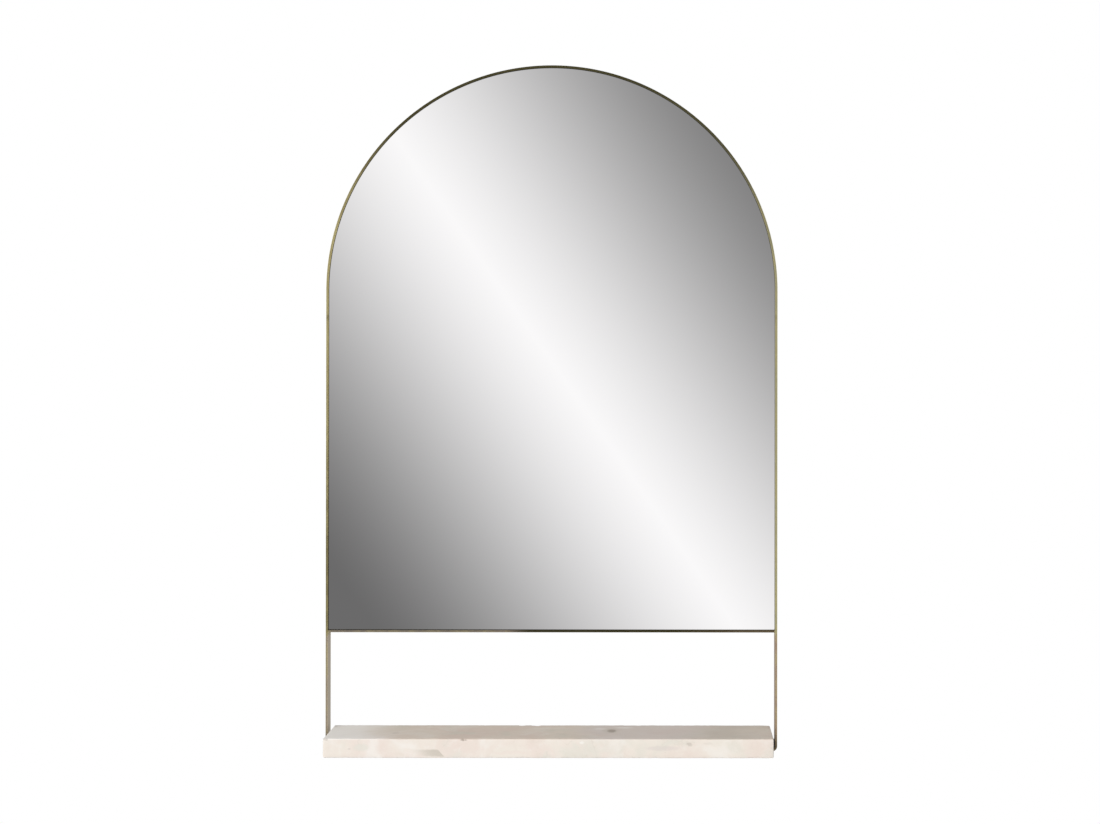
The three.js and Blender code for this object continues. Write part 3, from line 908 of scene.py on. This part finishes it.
mirrorSilver = makeMirrorMaterial(mirrorLook)
glass = newObject("mirrorGlass", archPlate(glassHigh.x, glassLow.z, glassLow.y, glassHigh.y,
                                           mirrorLook["arris"]))
dress(glass, mirrorSilver, ["mirror_glass"], sharp=20)

boardLook = {
    "pale": (0.44, 0.315, 0.195),
    "dark": (0.345, 0.24, 0.145),
    "fibre": (0.60, 0.475, 0.33),
    "sawn": (0.19, 0.13, 0.08),
    "edgeBreak": 0.4 * mm,
    "cloudScale": 6,
    "pulpScale": 240,
    "chipScale": 210,
    "strands": (190, 1500, 900),  # to the metre: along a fibre, across it, and into the board
    # the four ways that fibres lie: (x, z) along the fibre, and across it
    "fibres": [((1, 0.3), (-0.3, 1)), ((0.6, -0.8), (0.8, 0.6)),
               ((0.1, 1), (1, -0.1)), ((0.85, 0.6), (-0.6, 0.85))],
    "relief": 0.10 * mm,
}


def makeBoardMaterial(look):
    sheet = newSheet("fibreboard_brown")
    place = sheet.place()
    x, y, z = sheet.split(place)
    cloud = sheet.grain(sheet.warped(place, 5, 0.05), look["cloudScale"], 4, 0.5)
    pulp = sheet.grain(sheet.warped(place, 160, 0.01), look["pulpScale"], 5, 0.7)
    tone = sheet.rise(cloud * 0.35 + pulp * 0.65, 0.36, 0.64)
    colour = sheet.mix(tone, look["dark"], look["pale"])
    # coarse chips of darker fibre, as wide as a match head
    chips = sheet.cells(sheet.warped(place, 90, 0.012), look["chipScale"])
    colour = sheet.mix(sheet.fall(chips, 0.10, 0.34) * 0.30, colour, look["sawn"])
    height = pulp + sheet.rise(chips, 0.1, 0.4) * 0.2
    along, aside, deep = look["strands"]
    for turn, (lengthwise, across) in enumerate(look["fibres"]):
        u = x * lengthwise[0] + z * lengthwise[1]
        v = x * across[0] + z * across[1]
        strand = sheet.join(u * along, v * aside, y * deep + turn * 7.3)
        strand = sheet.grain(strand, 1, 2, 0.5)
        tint = look["fibre"] if turn % 2 else look["sawn"]
        colour = sheet.mix(sheet.rise(strand, 0.62, 0.72) * 0.55, colour, tint)
        height = height + sheet.rise(strand, 0.6, 0.75) * 0.5
    sawn = sheet.fall(y, boardHigh.y - 0.5 * mm, boardHigh.y - 0.2 * mm)
    colour = sheet.mix(sawn * 0.55, colour, look["sawn"])
    return sheet.surface(colour, 0.62 + 0.2 * pulp, sheet.bump(height, look["relief"], 0.7))


fibreboard = makeBoardMaterial(boardLook)
board = newObject("backingBoard", archPlate(boardHigh.x, boardLow.z, boardLow.y, boardHigh.y,
                                            boardLook["edgeBreak"]))
dress(board, fibreboard, ["backing_board"], sharp=30)
print("mirror and board made")


# Zinc-plated steel of the screws and the hangers
zincLook = {
    "pale": (0.66, 0.675, 0.69),
    "dark": (0.42, 0.43, 0.45),
    "straw": (0.58, 0.54, 0.45),
    "roughness": 0.34,
    "crystalScale": 420,
    "cloudScale": 70,
    "scratches": (350, 900, 2600),  # to the metre in X, Y and Z
    "relief": 0.02 * mm,
}


def makeZinc(look):
    sheet = newSheet("zinc_plate")
    place = sheet.place()
    bloom = sheet.cells(sheet.warped(place, 300, 0.002), look["crystalScale"], output="Color")
    crystal = sheet.split(bloom)[0]
    cloud = sheet.grain(place, look["cloudScale"], 5, 0.6)
    scratch = sheet.grain(sheet.vectorMaths("MULTIPLY", place, look["scratches"]), 1, 3, 0.6)
    colour = sheet.mix(sheet.rise(cloud, 0.35, 0.65), look["dark"], look["pale"])
    colour = sheet.mix(sheet.rise(cloud, 0.55, 0.75) * 0.5, colour, look["straw"])
    colour = sheet.shaded(colour, 0.88 + 0.2 * crystal)
    roughness = look["roughness"] + 0.12 * (crystal - 0.5) + 0.12 * (scratch - 0.5)
    normal = sheet.bump(scratch * 0.6 + crystal * 0.3, look["relief"], 0.7)
    return sheet.surface(colour, roughness, normal, Metallic=1.0)


zinc = makeZinc(zincLook)

# Pan-head screws of the tabs and the straps, in millimetres
screwLook = {
    "segments": 40,
    "domeSteps": 9,
    "headRadius": 3.5,
    "headHeight": 2.2,
    "rim": 0.9,
    "lip": 0.15,
    "shank": 1.75,
    "length": 6.5,
    "point": 1.5,
    "slot": (3.8, 0.7, 1.1),
    "slotTaper": (0.45, 0.75, 1),  # its floor, next to its mouth
}


def panScrewMesh(look):
    lip = look["lip"]
    profile = [(0, -look["length"]), (look["shank"], look["point"] - look["length"]),
               (look["shank"], 0), (look["headRadius"] - lip, 0), (look["headRadius"], lip)]
    for step in range(look["domeSteps"]):
        angle = math.pi / 2 * step / look["domeSteps"]
        rise = look["rim"] + (look["headHeight"] - look["rim"]) * math.sin(angle)
        profile.append((look["headRadius"] * math.cos(angle), rise))
    profile.append((0, look["headHeight"]))
    piece = newObject("panScrew", turnedSolid(profile, look["segments"]))
    blades = []
    for turn in (0, 90):
        blade = bmesh.new()
        bmesh.ops.create_cube(blade, size=1)
        length, width, depth = (part * mm for part in look["slot"])
        bmesh.ops.scale(blade, vec=(length, width, 2 * depth), verts=blade.verts)
        deep = [vert for vert in blade.verts if vert.co.z < 0]
        bmesh.ops.scale(blade, vec=look["slotTaper"], verts=deep)
        blades.append(moved(blade, shifted(0, 0, look["headHeight"] * mm) @ turnedBy(turn, "Z")))
    for blade in blades:
        cutOut(piece, [blade])
    return meshOf(piece)


def fromMesh(mesh, matrix):
    bm = bmesh.new()
    bm.from_mesh(mesh)
    return moved(bm, matrix)


panScrew = panScrewMesh(screwLook)
panScrewNames = sorted(name for name in nodes if name.endswith("_screw") and "shelf" not in name)
panScrewNames += sorted(name for name in nodes if "strap_screw" in name)
for index, name in enumerate(panScrewNames):
    low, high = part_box(name)
    spot = (low + high) / 2
    turn = 37 * index % 90
    matrix = shifted(spot.x, high.y - screwLook["headHeight"] * mm, spot.z) @ turnedBy(-90, "X")
    piece = newObject(name + "_turned", fromMesh(panScrew, matrix @ turnedBy(turn, "Z")))
    dress(piece, zinc, [name], bevel=0.08)

# Countersunk screws of the shelf, standing on their heads, in millimetres
shelfScrewLook = {
    "profile": [(0, 0.1), (4.35, 0.1), (4.6, 0.3), (2.5, 2.5), (2.5, 15.2), (1.7, 16), (0, 16)],
    "segments": 40,
    "keyRadius": 1.75,
    "keyLength": 3.2,  # half of it is in the head
}


def makeShelfScrew(name, look):
    low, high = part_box(name)
    spot = (low + high) / 2
    base = look["profile"][0][1] * mm
    bm = turnedSolid(look["profile"], look["segments"])
    piece = newObject(name + "_turned", moved(bm, shifted(spot.x, spot.y, low.z - base)))
    key = bmesh.new()
    radius = look["keyRadius"] * mm
    bmesh.ops.create_cone(key, cap_ends=True, segments=6, radius1=radius, radius2=radius,
                          depth=look["keyLength"] * mm)
    cutOut(piece, [moved(key, shifted(spot.x, spot.y, low.z))])
    dress(piece, zinc, [name], bevel=0.08)


for name in sides:
    for row in shelfScrews:
        makeShelfScrew(f"{name}_{row}_shelf_screw", shelfScrewLook)

# Tabs, in millimetres, and the degrees from +X at which their welded edges lie
tabLook = {"length": 20, "reach": 15, "thickness": 2, "corner": 3, "hole": 2.05, "holeInset": 8}
tabAngles = {
    "tab_left_low": 180, "tab_left_high": 180, "tab_right_low": 0, "tab_right_high": 0,
    "tab_bottom_left": -90, "tab_bottom_right": -90,
    "tab_arch_right": 45, "tab_arch_top": 90, "tab_arch_left": 135,
}


# A tab lying in the X-Z plane: its welded edge at x = 0, and its hole further in
def tabMesh(look):
    bm = bmesh.new()
    bmesh.ops.create_grid(bm, x_segments=1, y_segments=1, size=0.5)
    bmesh.ops.scale(bm, vec=(look["reach"] * mm, look["length"] * mm, 1), verts=bm.verts)
    bmesh.ops.translate(bm, vec=(-look["reach"] * mm / 2, 0, 0), verts=bm.verts)
    free = [vert for vert in bm.verts if vert.co.x < -1 * mm]
    roundOff(bm, free, look["corner"] * mm, 8, "VERTICES")
    piece = newObject("tab", thickened(bm, bm.faces[:], (0, 0, look["thickness"] * mm)))
    hole = turnedSolid(bore(look["hole"], -1, 3), 32)
    return meshOf(cutOut(piece, [moved(hole, shifted(-look["holeInset"] * mm, 0, 0))]))


tab = tabMesh(tabLook)
for name, degrees in tabAngles.items():
    spot = nodeMiddle(name + "_screw")
    angle = math.radians(degrees)
    reach = tabLook["holeInset"] * mm
    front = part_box(name)[0].y
    seat = shifted(spot.x + reach * math.cos(angle), front, spot.z + reach * math.sin(angle))
    stand = seat @ turnedBy(-degrees, "Y") @ turnedBy(-90, "X")
    piece = newObject(name + "_plate", fromMesh(tab, stand))
    dress(piece, brassPlain, [name], bevel=0.2)
    edge = stand @ shifted(0.1 * mm, 0, tabLook["thickness"] * mm)
    addWeld(name + "_weld", beadLook["tabLength"], edge @ turnedBy(90, "Z"))
print("tabs and screws made")


# Hanger straps and D-rings, in millimetres
hangerLook = {
    "width": 14,
    "thickness": 1.5,
    "bore": 1.8,
    "length": 42,
    "drops": (23, 35),
    "hole": 2.05,
    "roll": -292,  # degrees that the strap's end is rolled round the ring
    "wire": 1.5,
    "wireSides": 20,
    "ringHalf": 12.5,
    "ringCorner": 3,
    "ringLeg": 1,
    "seam": 0.2,
}


# Strap in its own place: the eye's middle at the origin, the plate on the -Y side
def strapMesh(look):
    bm = bmesh.new()
    half = look["width"] / 2 * mm
    front = -look["bore"] * mm
    bottom = half - look["length"] * mm
    corner = bm.verts.new((half, front, bottom))
    turned = bmesh.ops.spin(bm, geom=[corner], cent=(0, 0, bottom), axis=(0, 1, 0),
                            angle=math.pi, steps=24)
    made = bmesh.ops.extrude_vert_indiv(bm, verts=[corner] + vertsOf(turned["geom_last"]))
    bmesh.ops.translate(bm, vec=(0, 0, -bottom), verts=made["verts"])
    bm.edges.new(made["verts"])
    face = bmesh.ops.contextual_create(bm, geom=bm.edges[:])["faces"]
    thickened(bm, face, (0, -look["thickness"] * mm, 0))
    end = [face for face in bm.faces if all(abs(vert.co.z) < 0.001 * mm for vert in face.verts)]
    bmesh.ops.spin(bm, geom=end, cent=(0, 0, 0), axis=(1, 0, 0),
                   angle=math.radians(look["roll"]), steps=36)
    piece = newObject("strap", closed(bm))
    hole = bore(look["hole"], -6, 6)
    cutOut(piece, [
        moved(turnedSolid(hole, 32), shifted(0, 0, -drop * mm) @ turnedBy(-90, "X"))
        for drop in look["drops"]
    ])
    return meshOf(piece)


# Ring in its own place: the middle of its straight side at the origin, the rest hanging down
def ringMesh(look):
    bm = bmesh.new()
    bmesh.ops.create_circle(bm, cap_ends=False, segments=look["wireSides"],
                            radius=look["wire"] * mm)
    moved(bm, shifted(look["seam"] * mm, 0, 0) @ turnedBy(90, "Y"))
    corner = look["ringCorner"] * mm
    half = look["ringHalf"] * mm
    straight = half - corner - look["seam"] * mm
    leg = look["ringLeg"] * mm
    edges = pulled(bm, bm.edges[:], (straight, 0, 0))
    edges = swung(bm, edges, (half - corner, 0, -corner), (0, 1, 0), 90, 8)
    edges = pulled(bm, edges, (0, 0, -leg))
    edges = swung(bm, edges, (0, 0, -corner - leg), (0, 1, 0), 180, 40)
    edges = pulled(bm, edges, (0, 0, leg))
    edges = swung(bm, edges, (corner - half, 0, -corner), (0, 1, 0), 90, 8)
    pulled(bm, edges, (straight, 0, 0))
    return capped(bm, 0.2 * mm)


strap = strapMesh(hangerLook)
for name in sides:
    low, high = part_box(name + "_d_ring")
    eye = Vector(((low.x + high.x) / 2, (low.y + high.y) / 2, high.z - hangerLook["wire"] * mm))
    piece = newObject(name + "HangerStrap", fromMesh(strap, shifted(*eye)))
    dress(piece, zinc, [name + "_hanger_strap"], bevel=0.15)
    ring = newObject(name + "Ring", moved(ringMesh(hangerLook), shifted(*eye)))
    dress(ring, zinc, [name + "_d_ring"], body=name + "_ring")
print("hangers made")


# Rubber pads between the feet and the shelf
padLook = {
    "tone": (0.018, 0.017, 0.016),
    "worn": (0.055, 0.052, 0.048),
    "crumbScale": 900,
    "dustScale": 120,
    "relief": 0.08 * mm,
    "corner": 4.6 * mm,
    "play": 0.3 * mm,  # between the shelf's end and the pad
    "hole": 2.8,
    "edgeBreak": 0.4,
}


def makeRubber(look):
    sheet = newSheet("black_rubber")
    place = sheet.place()
    crumb = sheet.grain(place, look["crumbScale"], 4, 0.6)
    dusty = sheet.rise(sheet.grain(place, look["dustScale"], 4, 0.6), 0.5, 0.75)
    colour = sheet.mix(dusty * 0.7 + sheet.rise(crumb, 0.6, 0.75) * 0.3, look["tone"], look["worn"])
    return sheet.surface(colour, 0.62 + 0.2 * dusty, sheet.bump(crumb, look["relief"], 0.6))


rubber = makeRubber(padLook)


def makePad(name, side):
    bm = bmesh.new()
    inner = shelfHigh.x + padLook["play"]
    top = shelfLow.z
    corners = [(padLow.x, top), (padLow.x, padLow.z), (padHigh.x, padLow.z),
               (padHigh.x, padHigh.z), (inner, padHigh.z), (inner, top)]
    verts = [bm.verts.new((x, padLow.y, z)) for x, z in corners]
    bm.faces.new(verts)
    roundOff(bm, [verts[2]], padLook["corner"], 8, "VERTICES")
    thickened(bm, bm.faces[:], (0, padHigh.y - padLow.y, 0))
    if side < 0:
        moved(bm, mirrored)
    piece = newObject(name + "ShelfPad", bm)
    cutOut(piece, shelfHoles(name, bore(padLook["hole"], -2, 4), 32, padLow.z))
    dress(piece, rubber, [name + "_shelf_pad"], bevel=padLook["edgeBreak"])


for name, side in sides.items():
    makePad(name, side)

# Foam of the tape strips
foamLook = {
    "pale": (0.88, 0.87, 0.84),
    "dull": (0.80, 0.79, 0.75),
    "pore": (0.62, 0.61, 0.58),
    "poreScale": 2600,
    "cloudScale": 60,
    "relief": 0.08 * mm,
}


def makeFoam(look):
    sheet = newSheet("foam_tape")
    place = sheet.place()
    pores = sheet.cells(place, look["poreScale"])
    cloud = sheet.grain(place, look["cloudScale"], 3, 0.6)
    colour = sheet.mix(sheet.rise(cloud, 0.35, 0.7), look["dull"], look["pale"])
    colour = sheet.mix(sheet.fall(pores, 0.1, 0.35) * 0.3, colour, look["pore"])
    return sheet.surface(colour, 0.8 + 0.1 * cloud, sheet.bump(pores, look["relief"], 0.6))


foam = makeFoam(foamLook)
insertLook = dict(brassLook, pale=(0.80, 0.62, 0.32), deep=(0.66, 0.48, 0.22))
insertBrass = makeBrass("insert_brass", insertLook, stained=False)
# The tape and the inserts keep their CAD meshes, and only get materials
for name, node in nodes.items():
    if name.startswith("tape_strip"):
        node.material_slots[0].material = foam
    if name.endswith("_insert"):
        node.material_slots[0].material = insertBrass
print("pads, tape and inserts made")

studio = {
    "ambient": 0.42,
    "keyStrength": 2.29,
    "keyAngle": 38,
    "keyFrom": (-28, 28),  # degrees to the left, and above the horizon
    "floorLevel": -1.25,
    "floorRadius": 4.8,
    "floorTone": 0.80,
    "floorGlow": 0.50,
    "reflectLow": 0.152,
    "reflectLift": 0.055,  # more of it above the band than below
    "reflectHigh": 1.0,
    "reflectRound": (0.38, 1.0),  # least and most, away from what the mirror shows
    "ceiling": 0.45,
    "bandOffset": 0.0539,
    "bandSlope": 0.70,
    "bandReach": 0.174,
    "bandEase": 0.38,  # 0 for straight flanks, 1 for rounded ones
    "bandPower": 1.22,
}


# Camera rays see white. Reflections see a soft band of light that crosses a grey room.
def makeWorld():
    sheet = Sheet(bpy.data.worlds.new("studio"))
    scene.world = sheet.owner
    camera = sheet.node("LightPath", output="Is Camera Ray")
    glossy = sheet.node("LightPath", output="Is Glossy Ray")
    passing = sheet.node("LightPath", output="Is Transmission Ray")
    x, y, z = sheet.split(sheet.node("TexCoord", output="Generated"))
    azimuth = sheet.maths("ARCTAN2", x, -1 * y)
    height = sheet.maths("ARCSINE", z)
    across = (azimuth + studio["bandSlope"] * height + studio["bandOffset"]) / studio["bandReach"]
    nearness = sheet.maths("MAXIMUM", 1 - abs(across), 0)
    rounded = nearness * nearness * (3 - 2 * nearness)
    band = between(nearness, rounded, studio["bandEase"]) ** studio["bandPower"]
    low = studio["reflectLow"] + studio["reflectLift"] * sheet.rise(across, -0.6, 1.0)
    ahead = between(low, studio["reflectHigh"], band)
    # a wide soft light stands on each side of the room
    wave = 0.5 - 0.5 * sheet.maths("COSINE", azimuth * 2 + height * 1.4)
    lights = between(*studio["reflectRound"], wave)
    room = between(ahead, lights, sheet.rise(abs(across), 1.3, 2.6))
    room = room * (1 - studio["ceiling"] * sheet.rise(z, 0.30, 0.80))
    seen = sheet.maths("MAXIMUM", camera, passing)
    strength = seen + (1 - seen) * (glossy * room + (1 - glossy) * studio["ambient"])
    shader = sheet.node("Background", sockets={"Color": (1, 1, 1), "Strength": strength})
    sheet.node("OutputWorld", sockets={"Surface": shader})


def makeFloor():
    sheet = newSheet("pale_floor")
    camera = sheet.node("LightPath", output="Is Camera Ray")
    plain = sheet.node("BsdfDiffuse", sockets={"Color": (studio["floorTone"],) * 3})
    strength = studio["floorGlow"] * camera
    glow = sheet.node("Emission", sockets={"Color": (1, 1, 1), "Strength": strength})
    sheet.finish(sheet.node("AddShader", sockets={0: plain, 1: glow}))
    bm = bmesh.new()
    bmesh.ops.create_circle(bm, cap_ends=True, segments=96, radius=studio["floorRadius"])
    floor = newObject("floor", moved(bm, shifted(0, 0, studio["floorLevel"])))
    floor.data.materials.append(sheet.owner)
    floor.visible_glossy = False


def makeKey():
    sun = bpy.data.objects.new("key", bpy.data.lights.new("key", "SUN"))
    sun.data.energy = studio["keyStrength"]
    sun.data.angle = math.radians(studio["keyAngle"])
    azimuth, height = studio["keyFrom"]
    sun.matrix_world = turnedBy(azimuth, "Z") @ turnedBy(90 - height, "X")
    sun.visible_glossy = False
    scene.collection.objects.link(sun)


makeWorld()
makeFloor()
makeKey()
scene.view_settings.view_transform = "Standard"
print("studio made")
